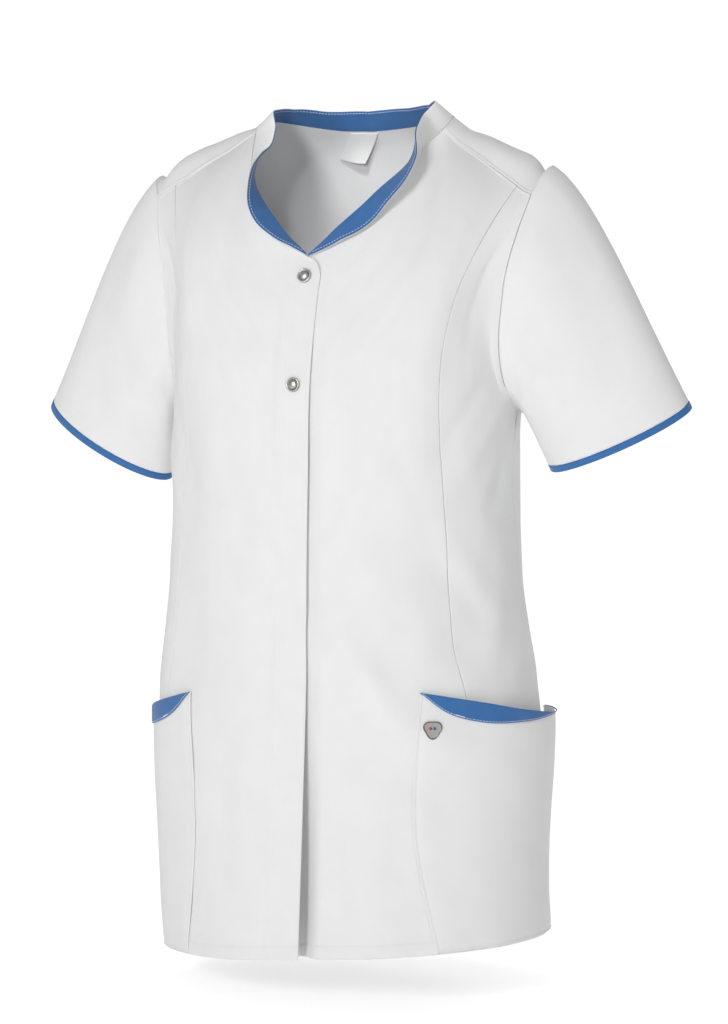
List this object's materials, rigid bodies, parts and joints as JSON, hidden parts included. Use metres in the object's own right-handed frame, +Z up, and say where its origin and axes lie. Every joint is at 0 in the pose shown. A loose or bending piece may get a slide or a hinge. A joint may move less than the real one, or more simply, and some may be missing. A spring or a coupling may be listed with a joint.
{
  "type": "medical tunic",
  "caption": "White short-sleeved women's medical tunic with a blue-lined V-neck band collar, a lapped snap front, blue-bound cuffs and two patch pockets with blue facings, standing as worn.",
  "frame": {"origin": "midway between the two shoulder neck points, where the tunic lies on the wearer's shoulders", "axes": "+Z up, -Y towards the front, +X towards the wearer's left"},
  "size_m": [0.6533, 0.2514, 0.787],
  "materials": {
    "white": "matt",
    "blue": "matt",
    "metal": "satin",
    "label": "satin"
  },
  "bodies": {
    "root": {"back": "white", "front_left_centre": "white", "front_left_side": "white", "front_right_centre": "white", "front_right_side": "white", "sleeve_left": "white", "sleeve_right": "white", "collar_outer": "white", "pocket_left": "white", "pocket_right": "white", "collar_facing": "blue", "pocket_facing_left": "blue", "pocket_facing_right": "blue", "cuff_binding_left": "blue", "cuff_binding_right": "blue", "snap_1": "metal", "snap_2": "metal", "badge": "metal", "neck_label": "label"}
  },
  "joints": []
}
